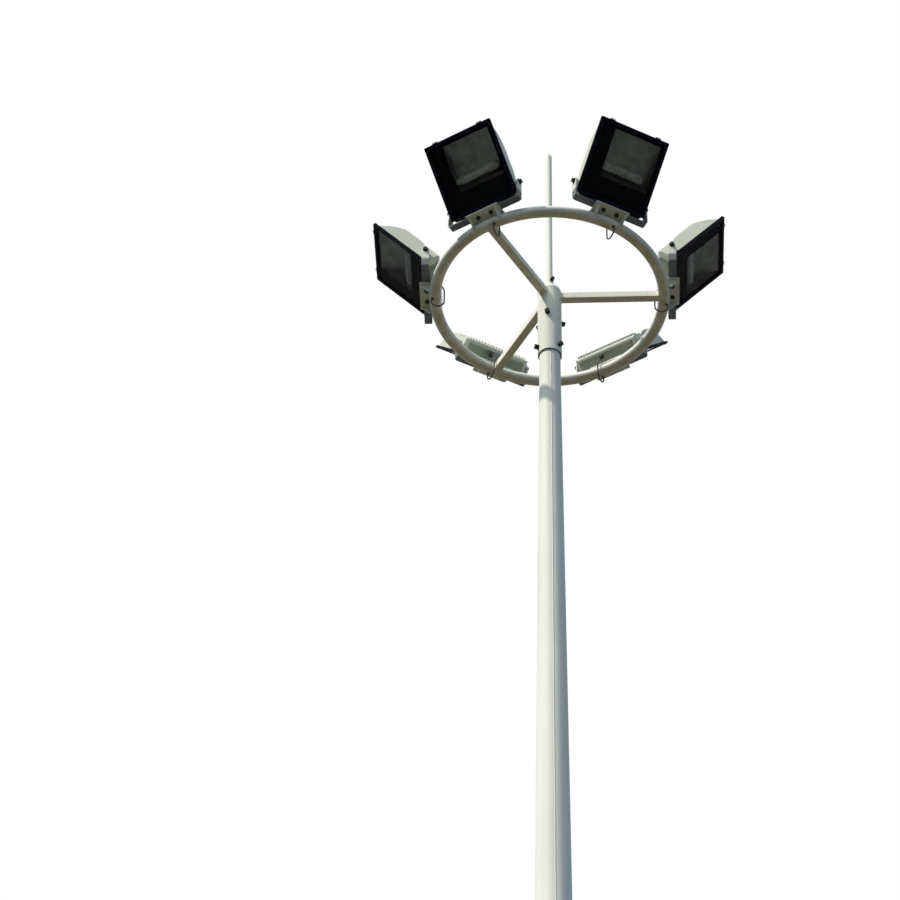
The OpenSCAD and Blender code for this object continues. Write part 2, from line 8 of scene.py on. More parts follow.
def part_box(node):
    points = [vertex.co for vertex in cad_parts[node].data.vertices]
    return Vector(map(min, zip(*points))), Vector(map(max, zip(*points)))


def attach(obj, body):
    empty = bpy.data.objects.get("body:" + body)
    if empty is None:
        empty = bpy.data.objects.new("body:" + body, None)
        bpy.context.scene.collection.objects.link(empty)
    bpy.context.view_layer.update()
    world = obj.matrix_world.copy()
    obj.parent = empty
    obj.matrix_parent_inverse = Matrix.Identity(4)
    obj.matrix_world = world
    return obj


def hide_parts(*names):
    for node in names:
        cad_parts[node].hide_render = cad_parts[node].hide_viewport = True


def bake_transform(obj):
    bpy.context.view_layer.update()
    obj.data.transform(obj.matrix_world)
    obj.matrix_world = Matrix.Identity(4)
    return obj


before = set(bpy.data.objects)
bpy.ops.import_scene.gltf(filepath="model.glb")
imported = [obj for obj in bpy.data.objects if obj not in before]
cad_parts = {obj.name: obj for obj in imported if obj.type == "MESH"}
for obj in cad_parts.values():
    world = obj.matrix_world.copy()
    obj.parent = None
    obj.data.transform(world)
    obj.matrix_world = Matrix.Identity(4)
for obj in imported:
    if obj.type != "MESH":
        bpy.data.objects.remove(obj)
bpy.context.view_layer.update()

bpy.ops.object.select_all(action="DESELECT")

# Camera: eye height on open ground, twelve metres in front of the mast,
# looking up at the head with a long lens.
camera_data = bpy.data.cameras.new("camera")
camera_data.sensor_width = 36.0
camera_data.lens = 137.8441
camera_data.clip_start = 0.1
camera_data.clip_end = 500.0
camera = bpy.data.objects.new("camera", camera_data)
camera.location = (0.18, -12.2043, 1.6)
camera.rotation_euler = (radians(135.1429), radians(-0.9097), radians(2.3001))
bpy.context.scene.collection.objects.link(camera)
bpy.context.scene.camera = camera

# Supply leads: black rubber flex, 8 mm, one from each lamp's gland down the inner side
# of the ring, in a drip loop under its tube and through a grommet into it from below.
LAMPS = range(1, 7)
RING_Z = 15.0
RING_R = 0.6
TUBE_R = 0.03
TILT = radians(48)
PIVOT_R, PIVOT_RISE = 0.046, 0.165
PIVOT_S, PIVOT_D = 0.055, 0.058
END_S = -0.018
GLAND_T, GLAND_L = 0.03, 0.012
SEAT_GAP = 0.0003
LEAD_D = 0.008
LEAD_TURN = radians(3.4)
LEAD_IN = TUBE_R + 0.017
LEAD_BEND = 0.034
LEAD_MOUTH = TUBE_R + 0.007
LEAD_END = TUBE_R - 0.0015
LEAD_DROP = 0.022
LEAD_RUN, LEAD_EASE = 0.010, 0.028


def ring_axes(i):
    """Lamp i's place on the ring: x outwards, y along the ring, z up from the tube's centre."""
    turn = Matrix.Rotation(radians(60 * (i - 1)), 4, "Z")
    return turn @ Matrix.Translation((RING_R, 0, RING_Z))


def gland_point(out):
    """A point straight out from a lamp's gland, in ring axes."""
    s = END_S - GLAND_L - out - PIVOT_S
    return Vector((PIVOT_R + s * cos(TILT), GLAND_T, PIVOT_RISE + s * sin(TILT)))


def hole_point(r, z):
    """A point in the plane of a lead's hole, in ring axes."""
    return Vector(((RING_R + r) * cos(LEAD_TURN) - RING_R, (RING_R + r) * sin(LEAD_TURN), z))


def curve_point(a, b, c, d, u):
    """A point on the curve from a to d that b and c pull."""
    return (1 - u) ** 3 * a + 3 * u * (1 - u) ** 2 * b + 3 * u * u * (1 - u) * c + u ** 3 * d


lead_aim = atan2(LEAD_BEND, LEAD_MOUTH) - asin((LEAD_IN - LEAD_BEND) / hypot(LEAD_BEND, LEAD_MOUTH))
loop_z = -LEAD_MOUTH * cos(lead_aim) - LEAD_BEND * sin(lead_aim)
free_end = gland_point(LEAD_RUN)
held_end = hole_point(-LEAD_IN, LEAD_DROP)
free_pull = gland_point(LEAD_RUN + LEAD_EASE)
held_pull = hole_point(-LEAD_IN, LEAD_DROP + LEAD_EASE)
lead_route = [gland_point(SEAT_GAP)]
lead_route += [curve_point(free_end, free_pull, held_pull, held_end, k / 6) for k in range(7)]
lead_route += [hole_point(-LEAD_IN, LEAD_DROP + (loop_z - LEAD_DROP) * k / 3) for k in (1, 2)]
for k in range(11):
    turn = (pi + lead_aim) * k / 10
    lead_route.append(hole_point(LEAD_BEND * (1 - cos(turn)) - LEAD_IN, loop_z - LEAD_BEND * sin(turn)))
lead_route.append(hole_point(LEAD_END * sin(lead_aim), -LEAD_END * cos(lead_aim)))


def flexes(piece):
    """Puts a piece's place into its mesh."""
    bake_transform(piece)


def smooth_route(points, steps):
    """Points closer together on one smooth curve through the given ones."""
    p = [Vector(q) for q in points]
    p = [2 * p[0] - p[1]] + p + [2 * p[-1] - p[-2]]
    out = []
    for a, b, c, d in zip(p, p[1:], p[2:], p[3:]):
        for k in range(steps):
            u = k / steps
            out.append(0.5 * (2 * b + (c - a) * u + (2 * a - 5 * b + 4 * c - d) * u * u
                              + (3 * b - a - 3 * c + d) * u ** 3))
    return out + [p[-2]]


def round_bar(name, points, radius, sides=16, closed=False):
    """A round cord or bead along points, as a mesh."""
    line = bpy.data.curves.new(name, "CURVE")
    line.dimensions = "3D"
    line.bevel_depth = radius
    line.bevel_resolution = sides // 4 - 1
    line.use_fill_caps = True
    run = line.splines.new("POLY")
    run.points.add(len(points) - 1)
    run.use_cyclic_u = closed
    for q, at in zip(run.points, points):
        q.co = (*at, 1)
    o = bpy.data.objects.new(name, line)
    bpy.context.scene.collection.objects.link(o)
    bpy.ops.object.select_all(action="DESELECT")
    o.select_set(True)
    bpy.context.view_layer.objects.active = o
    bpy.ops.object.convert(target="MESH")
    o = bpy.context.view_layer.objects.active
    bpy.ops.object.shade_smooth_by_angle(angle=radians(50))
    o.select_set(False)
    return o


def shader(name, colour, rough, metal=0.0, level=0.5):
    """A new material with its main shader's plain values set."""
    m = bpy.data.materials.new(name)
    m.use_nodes = True
    s = m.node_tree.nodes["Principled BSDF"]
    s.inputs["Base Color"].default_value = (*colour, 1)
    s.inputs["Roughness"].default_value = rough
    s.inputs["Metallic"].default_value = metal
    s.inputs["Specular IOR Level"].default_value = level
    return m, m.node_tree, s


def add(tree, kind, **values):
    """One more node, with its properties and its inputs set by name."""
    n = tree.nodes.new(kind)
    for key, value in values.items():
        if key in n.inputs:
            n.inputs[key].default_value = value
        else:
            setattr(n, key, value)
    return n


def place(tree, stretch=(1, 1, 1)):
    """Object coordinates, stretched so that a pattern runs along one of them."""
    where = add(tree, "ShaderNodeTexCoord")
    turn = add(tree, "ShaderNodeMapping", Scale=stretch)
    tree.links.new(where.outputs["Object"], turn.inputs["Vector"])
    return turn.outputs["Vector"]


def noise(tree, scale, detail=4.0, rough=0.55, stretch=(1, 1, 1)):
    """A cloudy pattern; scale is in blots a metre."""
    n = add(tree, "ShaderNodeTexNoise", Scale=scale, Detail=detail, Roughness=rough)
    tree.links.new(place(tree, stretch), n.inputs["Vector"])
    return n.outputs["Fac"]


def ramp(tree, source, *stops):
    """A grey ramp over a pattern; each stop is a position and a value."""
    n = add(tree, "ShaderNodeValToRGB")
    for e, (at, c) in zip(n.color_ramp.elements, stops):
        e.position = at
        e.color = (c, c, c, 1)
    tree.links.new(source, n.inputs["Fac"])
    return n.outputs["Color"]


def over(tree, under, top, share):
    """One colour over another; share is a pattern."""
    n = add(tree, "ShaderNodeMix", data_type="RGBA")
    for socket, value in ((n.inputs[0], share), (n.inputs[6], under), (n.inputs[7], top)):
        if isinstance(value, tuple):
            socket.default_value = (*value, 1)
        else:
            tree.links.new(value, socket)
    return n.outputs[2]


def mottled(tree, s, plain, stain, pattern, start, full, share=1.0):
    """A base colour with a stain over it, which grows as the pattern goes from start to full."""
    colour = over(tree, plain, stain, ramp(tree, pattern, (start, 0.0), (full, share)))
    tree.links.new(colour, s.inputs["Base Color"])


def uneven(tree, s, pattern, smooth, rough, start=0.3, full=0.7):
    """Roughness that follows a pattern."""
    tree.links.new(ramp(tree, pattern, (start, smooth), (full, rough)), s.inputs["Roughness"])


def relief(tree, s, height, strength, distance, edge=0.0):
    """Fine relief on the shader, over edges that are softened by a small radius."""
    b = add(tree, "ShaderNodeBump", Strength=strength, Distance=distance)
    tree.links.new(height, b.inputs["Height"])
    if edge:
        soft = add(tree, "ShaderNodeBevel", Radius=edge, samples=4)
        tree.links.new(soft.outputs["Normal"], b.inputs["Normal"])
    tree.links.new(b.outputs["Normal"], s.inputs["Normal"])


lead_rubber, tree, s = shader("lead_rubber", (0.016, 0.016, 0.017), 0.55, level=0.3)
dust = noise(tree, 60, 5)
mottled(tree, s, (0.014, 0.014, 0.015), (0.045, 0.044, 0.040), dust, 0.45, 0.75, 0.8)
uneven(tree, s, dust, 0.45, 0.72)
relief(tree, s, noise(tree, 900, 2), 0.25, 0.0004)

for i in LAMPS:
    route = smooth_route([ring_axes(i) @ q for q in lead_route], 2)
    lead = round_bar(f"supply_lead_{i}", route, LEAD_D / 2)
    lead.data.materials.append(lead_rubber)
    flexes(lead)
    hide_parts(f"lead_{i}")


# Base: a thick flange and six gussets, flame cut and welded to the mast's foot
# with fillet welds, all under the same cream-white paint as the mast.
def cream(name, base, dirt, streak, rough, edge):
    """Two-pack paint on steel, with faint weather runs down it and a little orange peel."""
    m, tree, s = shader(name, base, rough, level=0.14)
    broad = noise(tree, 1.4, 3)
    runs = noise(tree, 26, 5, 0.6, (1, 1, 0.035))
    specks = noise(tree, 140, 3)
    colour = over(tree, base, tuple(c * 0.94 for c in base), ramp(tree, broad, (0.35, 0.0), (0.7, 1.0)))
    colour = over(tree, colour, dirt, ramp(tree, runs, (0.52, 0.0), (0.86, streak)))
    mottled(tree, s, colour, dirt, specks, 0.66, 0.82, streak)
    uneven(tree, s, runs, rough - 0.06, rough + 0.12, 0.3, 0.8)
    relief(tree, s, noise(tree, 420, 2), 0.12, 0.0006, edge)
    return m


def dress(material, *nodes):
    """Gives CAD nodes their finish."""
    for name in nodes:
        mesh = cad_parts[name].data
        mesh.materials.clear()
        mesh.materials.append(material)


def joined(name, parts):
    """Several meshes as one piece."""
    bpy.ops.object.select_all(action="DESELECT")
    for o in parts:
        o.select_set(True)
    bpy.context.view_layer.objects.active = parts[0]
    bpy.ops.object.join()
    o = bpy.context.view_layer.objects.active
    o.name = o.data.name = name
    o.select_set(False)
    return o


def settle(o, material, body):
    """A finished piece: its material and the body that carries it."""
    o.data.materials.clear()
    o.data.materials.append(material)
    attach(o, body)


CREAM = (0.82, 0.81, 0.72)
WEATHER = (0.54, 0.52, 0.45)
mast_paint = cream("mast_paint", CREAM, WEATHER, 0.35, 0.62, 0.003)
dress(mast_paint, "base_flange", "base_gussets")

weld_paint, tree, s = shader("weld_paint", (0.80, 0.79, 0.71), 0.45, level=0.14)
scales = add(tree, "ShaderNodeTexWave", Scale=90.0, Distortion=3.0, Detail=2.0)
tree.links.new(place(tree), scales.inputs["Vector"])
mottled(tree, s, (0.81, 0.80, 0.72), (0.62, 0.60, 0.52), noise(tree, 120, 3), 0.5, 0.8, 0.7)
relief(tree, s, scales.outputs["Fac"], 0.5, 0.0015)

FLANGE_TOP = 0.025
FOOT_D = 0.340
TAPER = 0.016648
GUSSETS = 6
GUSSET_TURN = radians(21)
GUSSET_HALF = 0.007
GUSSET_TOP = 0.2
FOOT_BEAD, GUSSET_BEAD = 0.007, 0.005


def mast_half(z):
    """The lower section's radius at a height."""
    return (FOOT_D - TAPER * z) / 2


def circle(r, z, count=48):
    """Points of a level circle about the mast."""
    return [(r * cos(2 * pi * k / count), r * sin(2 * pi * k / count), z) for k in range(count)]


gusset_line = ((0.262, FLANGE_TOP), (0.22, FLANGE_TOP), (0.176, FLANGE_TOP + 0.001),
               (0.170, FLANGE_TOP + 0.006), (mast_half(0.12), 0.12), (mast_half(GUSSET_TOP), GUSSET_TOP))
beads = [round_bar("foot_weld", circle(mast_half(FLANGE_TOP), FLANGE_TOP, 96), FOOT_BEAD, 12, True)]
for k in range(GUSSETS):
    turn = Matrix.Rotation(GUSSET_TURN + k * 2 * pi / GUSSETS, 4, "Z")
    for side in (-GUSSET_HALF, GUSSET_HALF):
        line = [turn @ Vector((x, side, z)) for x, z in gusset_line]
        beads.append(round_bar("gusset_weld", line, GUSSET_BEAD, 12))
settle(joined("base_welds", beads), weld_paint, "root")


# Mast: two tapered tubes, rolled from sheet and closed by one long seam weld each;
# the upper one is slipped over the lower one half way up.
def drawn_tube(name, rings, wall, sides=96):
    """An open round tube about z, drawn up ring by ring from a circle and given its wall inwards."""
    (r, z), rest = rings[0], rings[1:]
    bpy.ops.object.select_all(action="DESELECT")
    bpy.ops.mesh.primitive_circle_add(vertices=sides, radius=r, location=(0, 0, z))
    o = bpy.context.active_object
    o.name = o.data.name = name
    bpy.ops.object.transform_apply(location=True, rotation=True, scale=True)
    bpy.ops.object.mode_set(mode="EDIT")
    bpy.ops.mesh.select_mode(type="EDGE")
    bpy.ops.mesh.select_all(action="SELECT")
    for r1, z1 in rest:
        bpy.ops.mesh.extrude_edges_move(TRANSFORM_OT_translate={"value": (0, 0, z1 - z)})
        bpy.ops.transform.resize(value=(r1 / r, r1 / r, 1), center_override=(0, 0, z1))
        r, z = r1, z1
    bpy.ops.mesh.select_all(action="SELECT")
    bpy.ops.mesh.normals_make_consistent(inside=False)
    bpy.ops.object.mode_set(mode="OBJECT")
    sheet = o.modifiers.new("wall", "SOLIDIFY")
    sheet.thickness = wall
    sheet.offset = -1
    bpy.ops.object.modifier_apply(modifier=sheet.name)
    bpy.ops.object.shade_smooth_by_angle(angle=radians(40))
    o.select_set(False)
    return o


SLIP_STEP = 0.0106
TUBE_STEPS = 24
SEAM_STEPS = 180
SEAM_TURN = radians(277.5)
SEAM_R, SEAM_PROUD = 0.0034, 0.0018
SEAM_SWAYS = ((0.0007, 1.7), (0.0005, 0.31))


def seam_line(z0, z1, wider):
    """A seam weld's line up a section, with the small sway of a hand-held torch."""
    turn = Matrix.Rotation(SEAM_TURN, 4, "Z")
    line = []
    for k in range(SEAM_STEPS + 1):
        z = z0 + (z1 - z0) * k / SEAM_STEPS
        r = mast_half(z) + wider / 2 + SEAM_PROUD - SEAM_R
        sway = sum(size * sin(pace * k) for size, pace in SEAM_SWAYS)
        line.append(turn @ Vector((r, sway, z)))
    return line


for section, wider, wall, seam_ends in (("lower", 0.0, 0.006, (0.03, 7.39)),
                                        ("upper", SLIP_STEP, 0.005, (7.41, 14.55))):
    foot, head = (corner[2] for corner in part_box(f"mast_{section}"))
    heights = [foot + (head - foot) * k / TUBE_STEPS for k in range(TUBE_STEPS + 1)]
    tube = drawn_tube(f"{section}_tube", [(mast_half(z) + wider / 2, z) for z in heights], wall)
    settle(tube, mast_paint, "root")
    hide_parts(f"mast_{section}")
    seam = round_bar(f"{section}_seam", seam_line(*seam_ends, wider), SEAM_R, 12)
    settle(seam, weld_paint, "root")

# Hand hole cover: a steel plate on a collar welded round the opening, held by four
# button-headed screws, with an earth terminal on the mast below it.
dress(mast_paint, "handhole_cover")

dark_bolts, tree, s = shader("dark_bolts", (0.012, 0.012, 0.013), 0.5, 0.2, 0.12)
blot = noise(tree, 90, 4)
mottled(tree, s, (0.009, 0.009, 0.010), (0.032, 0.024, 0.019), blot, 0.55, 0.8, 0.7)
uneven(tree, s, blot, 0.34, 0.6)
relief(tree, s, noise(tree, 700, 3), 0.2, 0.0004, 0.0008)

COVER_TURN = GUSSET_TURN + pi / 3
COVER_Z = 0.85
COVER_FACE = 0.0043
SCREW_X, SCREW_Y = 0.0325, 0.188
COLLAR_W, COLLAR_H, COLLAR_T = 0.070, 0.394, 0.0102
COLLAR_SUNK = 0.005
COLLAR_ROUND = 0.025
EARTH_Z = 0.5
LEAN = TAPER / 2


def on_mast(turn, z, out):
    """A place on the lower section's side: x along it, y up, z outwards."""
    facing = Matrix(((0, 0, 1, 0), (1, 0, 0, 0), (0, 1, 0, 0), (0, 0, 0, 1)))
    m = Matrix.Rotation(turn, 4, "Z") @ Matrix.Translation((mast_half(z) + out, 0, z))
    return m @ Matrix.Rotation(-LEAN, 4, "Y") @ facing


def block(name, low, high):
    """A box between two corners, left in edit mode."""
    bpy.ops.object.select_all(action="DESELECT")
    bpy.ops.mesh.primitive_cube_add(size=1, location=[(a + b) / 2 for a, b in zip(low, high)],
                                    scale=[b - a for a, b in zip(low, high)])
    o = bpy.context.active_object
    o.name = o.data.name = name
    bpy.ops.object.transform_apply(location=True, rotation=True, scale=True)
    bpy.ops.object.mode_set(mode="EDIT")
    return o


def pick_edges(o, test):
    """Selects in edit mode the edges whose two ends pass a test."""
    bpy.ops.mesh.select_mode(type="EDGE")
    bpy.ops.mesh.select_all(action="DESELECT")
    b = bmesh.from_edit_mesh(o.data)
    for e in b.edges:
        e.select_set(test(*(v.co for v in e.verts)))
    bmesh.update_edit_mesh(o.data)


def turned(name, profile, sides=24):
    """A round piece about z, drawn up from a disc by extruding and scaling its end face."""
    (r, z), rest = profile[0], profile[1:]
    bpy.ops.object.select_all(action="DESELECT")
    bpy.ops.mesh.primitive_circle_add(vertices=sides, radius=r, fill_type="NGON", location=(0, 0, z))
    o = bpy.context.active_object
    o.name = o.data.name = name
    bpy.ops.object.transform_apply(location=True, rotation=True, scale=True)
    bpy.ops.object.mode_set(mode="EDIT")
    bpy.ops.mesh.select_mode(type="FACE")
    bpy.ops.mesh.select_all(action="SELECT")
    for r1, z1 in rest:
        bpy.ops.mesh.extrude_region_move(TRANSFORM_OT_translate={"value": (0, 0, z1 - z)})
        bpy.ops.transform.resize(value=(r1 / r, r1 / r, 1), center_override=(0, 0, z1))
        r, z = r1, z1
    bpy.ops.mesh.select_all(action="SELECT")
    bpy.ops.mesh.normals_make_consistent(inside=False)
    bpy.ops.object.mode_set(mode="OBJECT")
    bpy.ops.object.shade_smooth_by_angle(angle=radians(35))
    o.select_set(False)
    return o


def copied(model, *places):
    """Copies of a model, each with its own mesh and its place in it."""
    out = []
    for m in places:
        o = model.copy()
        o.data = model.data.copy()
        o.data.transform(m)
        bpy.context.scene.collection.objects.link(o)
        out.append(o)
    return out


def pattern_of(name, model, *places):
    """One piece made of copies of a model, which goes."""
    o = joined(name, copied(model, *places))
    bpy.data.objects.remove(model)
    return o


collar_low = (-COLLAR_W / 2, -COLLAR_H / 2, -COLLAR_SUNK - COLLAR_T / 2)
collar_high = (COLLAR_W / 2, COLLAR_H / 2, -COLLAR_SUNK + COLLAR_T / 2)
collar = block("cover_collar", collar_low, collar_high)
pick_edges(collar, lambda a, b: (a - b).xy.length < 1e-6)
bpy.ops.mesh.bevel(offset=COLLAR_ROUND, segments=8, affect="EDGES")
bpy.ops.object.mode_set(mode="OBJECT")
bpy.ops.object.shade_smooth_by_angle(angle=radians(40))
collar.data.transform(on_mast(COVER_TURN, COVER_Z, 0))
settle(collar, mast_paint, "root")

button = turned("cover_screw_model", [(0.0085, -0.001), (0.0085, 0.0004), (0.0068, 0.0008), (0.0066, 0.0018),
                                      (0.0056, 0.0036), (0.0040, 0.0044), (0.0030, 0.0044), (0.0028, 0.0022)])
corners = [on_mast(COVER_TURN, COVER_Z + y, COVER_FACE) @ Matrix.Translation((x, 0, 0))
           for x in (-SCREW_X, SCREW_X) for y in (-SCREW_Y, SCREW_Y)]
settle(pattern_of("cover_screws", button, *corners), dark_bolts, "root")

boss = turned("earth_boss", [(0.0150, -0.002), (0.0150, 0.010), (0.0138, 0.0115)])
boss.data.transform(on_mast(COVER_TURN, EARTH_Z, 0))
settle(boss, mast_paint, "root")
washer = turned("earth_washer_model", [(0.0115, 0.0112), (0.0115, 0.0128), (0.0092, 0.0130)], 20)
flats = turned("earth_flats_model", [(0.0088, 0.0128), (0.0098, 0.0136), (0.0098, 0.0188),
                                     (0.0088, 0.0196)], 6)
stud = turned("earth_stud_model", [(0.0050, 0.0190), (0.0050, 0.0250), (0.0042, 0.0260)], 16)
terminal = joined("earth_terminal", [washer, flats, stud])
terminal.data.transform(on_mast(COVER_TURN, EARTH_Z, 0))
settle(terminal, dark_bolts, "root")

# Head: a round sleeve with a welded domed cap, held on the mast's tip by two rows
# of three locked set bolts and sealed below by a rubber ring; the rod stands in a
# socket on top of it.
dress(mast_paint, "head_sleeve", "lightning_rod")
dress(dark_bolts, "set_bolts")

SEAL_R, SEAL_DROP, SEAL_BEAD = 0.0572, 0.4445, 0.0026
DOME_R, DOME_RISE = 0.0625, 0.026
SOCKET_R, SOCKET_BEAD = 0.0245, 0.0035
CAP_BEAD, CAP_SUNK = 0.0024, 0.0012
seal = round_bar("sleeve_seal", circle(SEAL_R, RING_Z - SEAL_DROP), SEAL_BEAD, 12, True)
settle(seal, lead_rubber, "root")
dome_z = RING_Z + DOME_RISE
socket_z = dome_z + sqrt(DOME_R ** 2 - SOCKET_R ** 2)
head_beads = [round_bar("socket_weld", circle(SOCKET_R, socket_z), SOCKET_BEAD, 12, True),
              round_bar("cap_weld", circle(DOME_R - CAP_SUNK, dome_z), CAP_BEAD, 8, True)]

# Spokes and ring: square tube and rolled round tube, welded all round each end
# of the three spokes, in the mast's paint with painted warm shade in blotches along their undersides.
ring_paint = cream("ring_paint", CREAM, WEATHER, 0.35, 0.58, 0.003)
tree = ring_paint.node_tree
s = tree.nodes["Principled BSDF"]


def by_height(tree, z0, z1):
    """Nothing at one height, all at another."""
    where = add(tree, "ShaderNodeSeparateXYZ")
    tree.links.new(place(tree), where.inputs["Vector"])
    grow = add(tree, "ShaderNodeMapRange")
    grow.inputs["From Min"].default_value = z0
    grow.inputs["From Max"].default_value = z1
    tree.links.new(where.outputs["Z"], grow.inputs["Value"])
    return grow.outputs["Result"]


# Painted shade: below the tube's middle the paint turns a blotchy warm brown, for the shade and ground bounce
# under the ring and spokes.
UNDERSIDE_SHADE = (0.50, 0.42, 0.30)
UNDERSIDE_SHADE_TOP, UNDERSIDE_SHADE_LOW = RING_Z - 0.008, RING_Z - 0.024
underside_shade_mask = add(tree, "ShaderNodeMath", operation="MULTIPLY")
tree.links.new(by_height(tree, UNDERSIDE_SHADE_TOP, UNDERSIDE_SHADE_LOW), underside_shade_mask.inputs[0])
tree.links.new(ramp(tree, noise(tree, 17, 5, 0.62), (0.30, 0.25), (0.72, 0.95)), underside_shade_mask.inputs[1])
clean = s.inputs["Base Color"].links[0].from_socket
tree.links.new(over(tree, clean, UNDERSIDE_SHADE, underside_shade_mask.outputs[0]), s.inputs["Base Color"])
dress(ring_paint, "spokes", "ring")

SPOKES = 3
SPOKE_HALF = 0.020
SPOKE_BEAD = 0.0042
SIDE_STEPS = 6


def around_spoke(reach):
    """Points round a spoke's square section, each as far out as reach(y, z) says."""
    side = [(-1 + 2 * k / SIDE_STEPS) * SPOKE_HALF for k in range(SIDE_STEPS)]
    loop = ([(SPOKE_HALF, q) for q in side] + [(-q, SPOKE_HALF) for q in side]
            + [(-SPOKE_HALF, -q) for q in side] + [(q, -SPOKE_HALF) for q in side])
    return [Vector((reach(y, z), y, z + RING_Z)) for y, z in loop]


for k in range(SPOKES):
    turn = Matrix.Rotation(k * 2 * pi / SPOKES, 4, "Z")
    for name, reach in (("sleeve_end_weld", lambda y, z: sqrt(DOME_R ** 2 - y * y)),
                        ("ring_end_weld", lambda y, z: RING_R - sqrt(TUBE_R ** 2 - z * z))):
        head_beads.append(round_bar(name, [turn @ q for q in around_spoke(reach)], SPOKE_BEAD, 12, True))
settle(joined("head_welds", head_beads), weld_paint, "root")

# Grommets: black rubber rings, moulded with a groove, that snap into the six lead
# holes in the ring's underside and keep their edges off the leads.
grommet = turned("grommet_model", [(0.0062, -0.0040), (0.0062, -0.0004), (0.0086, -0.0004), (0.0092, 0.0006),
                                   (0.0090, 0.0020), (0.0074, 0.0034), (0.0048, 0.0038), (0.0041, 0.0030)])
from_below = (Matrix.Rotation(LEAD_TURN, 4, "Z") @ Matrix.Translation((RING_R, 0, RING_Z))
              @ Matrix.Rotation(pi - lead_aim, 4, "Y") @ Matrix.Translation((0, 0, TUBE_R)))
lead_holes = [Matrix.Rotation(radians(60 * (i - 1)), 4, "Z") @ from_below for i in LAMPS]
settle(pattern_of("lead_grommets", grommet, *lead_holes), lead_rubber, "root")

# Brackets: a ribbed plate welded on the ring under each lamp, and a yoke of bent
# flat bar on two bolts, in a greyer paint with painted shade low down on the yoke.
plate_paint = cream("plate_paint", (0.66, 0.65, 0.58), (0.40, 0.39, 0.34), 0.4, 0.45, 0.0015)
dress(plate_paint, "mount_plates")

# Painted shade and light: below these heights the yoke is painted dark for the lamp's shadow on it, above
# them a pale sunlit grey.
YOKE_SHADE_LOW, YOKE_SHADE_TOP = RING_Z + 0.088, RING_Z + 0.108
yoke_paint, tree, s = shader("yoke_paint", (0.50, 0.52, 0.48), 0.45, level=0.14)
yoke_shade_line = by_height(tree, YOKE_SHADE_LOW, YOKE_SHADE_TOP)
stain = noise(tree, 45, 5)
# The dark colour is painted shade, the pale one the arms' painted sunlit tone.
colour = over(tree, (0.12, 0.137, 0.145), (0.68, 0.68, 0.61), yoke_shade_line)
mottled(tree, s, colour, (0.20, 0.19, 0.16), stain, 0.5, 0.85, 0.6)
uneven(tree, s, stain, 0.4, 0.62)
relief(tree, s, noise(tree, 420, 2), 0.14, 0.0006, 0.0015)
dress(yoke_paint, "yokes")
dress(dark_bolts, "plate_bolts", "pivot_bolts")

# Lamp housings: die-cast aluminium shells with an arched back and a finned gear
# box, in light warm grey powder coat, with a screwed cover on the gear box's end.
cast_grey, tree, s = shader("cast_grey", (0.54, 0.56, 0.48), 0.5, level=0.12)
broad = noise(tree, 5, 4)
grit = noise(tree, 260, 3)
colour = over(tree, (0.61, 0.62, 0.53), (0.52, 0.535, 0.455), ramp(tree, broad, (0.35, 0.0), (0.7, 1.0)))
mottled(tree, s, colour, (0.36, 0.36, 0.31), grit, 0.68, 0.85, 0.5)
uneven(tree, s, broad, 0.46, 0.60)
relief(tree, s, noise(tree, 600, 2), 0.16, 0.0005, 0.002)
dress(cast_grey, *(f"lamp_housing_{i}" for i in LAMPS))

# Painted shade: the end cover is painted a darker, greener grey than the housing, for the shade that the gear
# box's end stands in.
shaded_cover_grey, tree, s = shader("shaded_cover_grey", (0.31, 0.35, 0.28), 0.5, level=0.12)
grime = noise(tree, 22, 5)
mottled(tree, s, (0.32, 0.36, 0.29), (0.23, 0.255, 0.20), grime, 0.4, 0.75)
uneven(tree, s, grime, 0.45, 0.62)
relief(tree, s, noise(tree, 600, 2), 0.16, 0.0005)


def lamp_axes(i):
    """Lamp i's own axes: x along its face outwards, y along the ring, z back from the face."""
    m = ring_axes(i) @ Matrix.Translation((PIVOT_R, 0, PIVOT_RISE)) @ Matrix.Rotation(-TILT, 4, "Y")
    return m @ Matrix.Translation((-PIVOT_S, 0, -PIVOT_D))


def rounded(o, width, segments=2):
    """Bevels the sharp edges of a finished shape and shades it."""
    bpy.ops.object.select_all(action="DESELECT")
    o.select_set(True)
    bpy.context.view_layer.objects.active = o
    edge = o.modifiers.new("edges", "BEVEL")
    edge.width = width
    edge.segments = segments
    edge.limit_method = "ANGLE"
    bpy.ops.object.modifier_apply(modifier=edge.name)
    bpy.ops.object.shade_smooth_by_angle(angle=radians(40))
    o.select_set(False)


def one_a_lamp(name, model):
    """A copy of a model on each lamp, by lamp number; the model goes."""
    out = {}
    for i in LAMPS:
        out[i], = copied(model, lamp_axes(i))
        out[i].name = out[i].data.name = f"{name}_{i}"
    bpy.data.objects.remove(model)
    return out


COVER_T, COVER_SUNK, COVER_HALF = 0.0035, 0.001, 0.162
COVER_D0, COVER_D1 = 0.018, 0.076
PANEL_IN, PANEL_STEP, PANEL_SUNK = 0.012, 0.003, 0.0018
END_SCREW_T = 0.1555
END_SCREW_D = (0.0245, 0.0695)
cover_low = (END_S - COVER_T, -COVER_HALF, COVER_D0)
cover_high = (END_S + COVER_SUNK, COVER_HALF, COVER_D1)
cover = block("end_cover_model", cover_low, cover_high)
bpy.ops.mesh.select_mode(type="FACE")
bpy.ops.mesh.select_all(action="DESELECT")
b = bmesh.from_edit_mesh(cover.data)
for f in b.faces:
    f.select_set(f.normal.x < -0.9)
bmesh.update_edit_mesh(cover.data)
bpy.ops.mesh.inset(thickness=PANEL_IN, depth=0.0)
bpy.ops.mesh.inset(thickness=PANEL_STEP, depth=-PANEL_SUNK)
bpy.ops.object.mode_set(mode="OBJECT")
